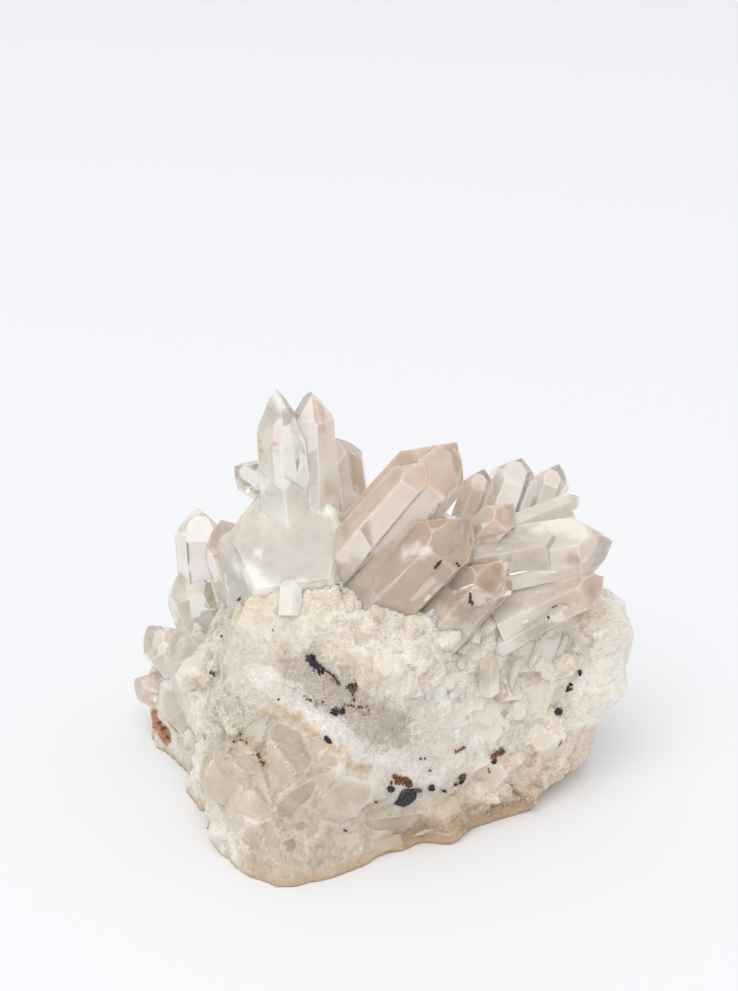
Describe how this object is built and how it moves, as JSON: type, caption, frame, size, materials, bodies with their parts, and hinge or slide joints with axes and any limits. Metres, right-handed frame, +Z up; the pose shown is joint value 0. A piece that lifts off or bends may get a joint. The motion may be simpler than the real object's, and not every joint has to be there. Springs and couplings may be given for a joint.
{
  "type": "quartz crystal cluster",
  "caption": "Hazy pink-beige quartz crystals grown together in a spray on a lump of broken milky quartz, which rests on its flat underside.",
  "frame": {"origin": "middle of the bounding box in plan, at the flat underside", "axes": "+X to the viewer's right along the longest side, +Y away from the viewer, +Z up; the pictured side faces -Y"},
  "size_m": [0.116, 0.083, 0.0971],
  "materials": {
    "matrix": "milky, broken, sugary and slightly translucent",
    "crystal_spray": "glossy crystal faces, hazy pink-beige inside",
    "flank_crystals": "glossy crystal faces, pale and clear inside",
    "side_crystals": "glossy crystal faces, pale and clear inside"
  },
  "bodies": {
    "root": {"matrix": "matrix", "crystal_spray": "crystal_spray", "flank_crystals": "flank_crystals", "side_crystals": "side_crystals"}
  },
  "joints": []
}
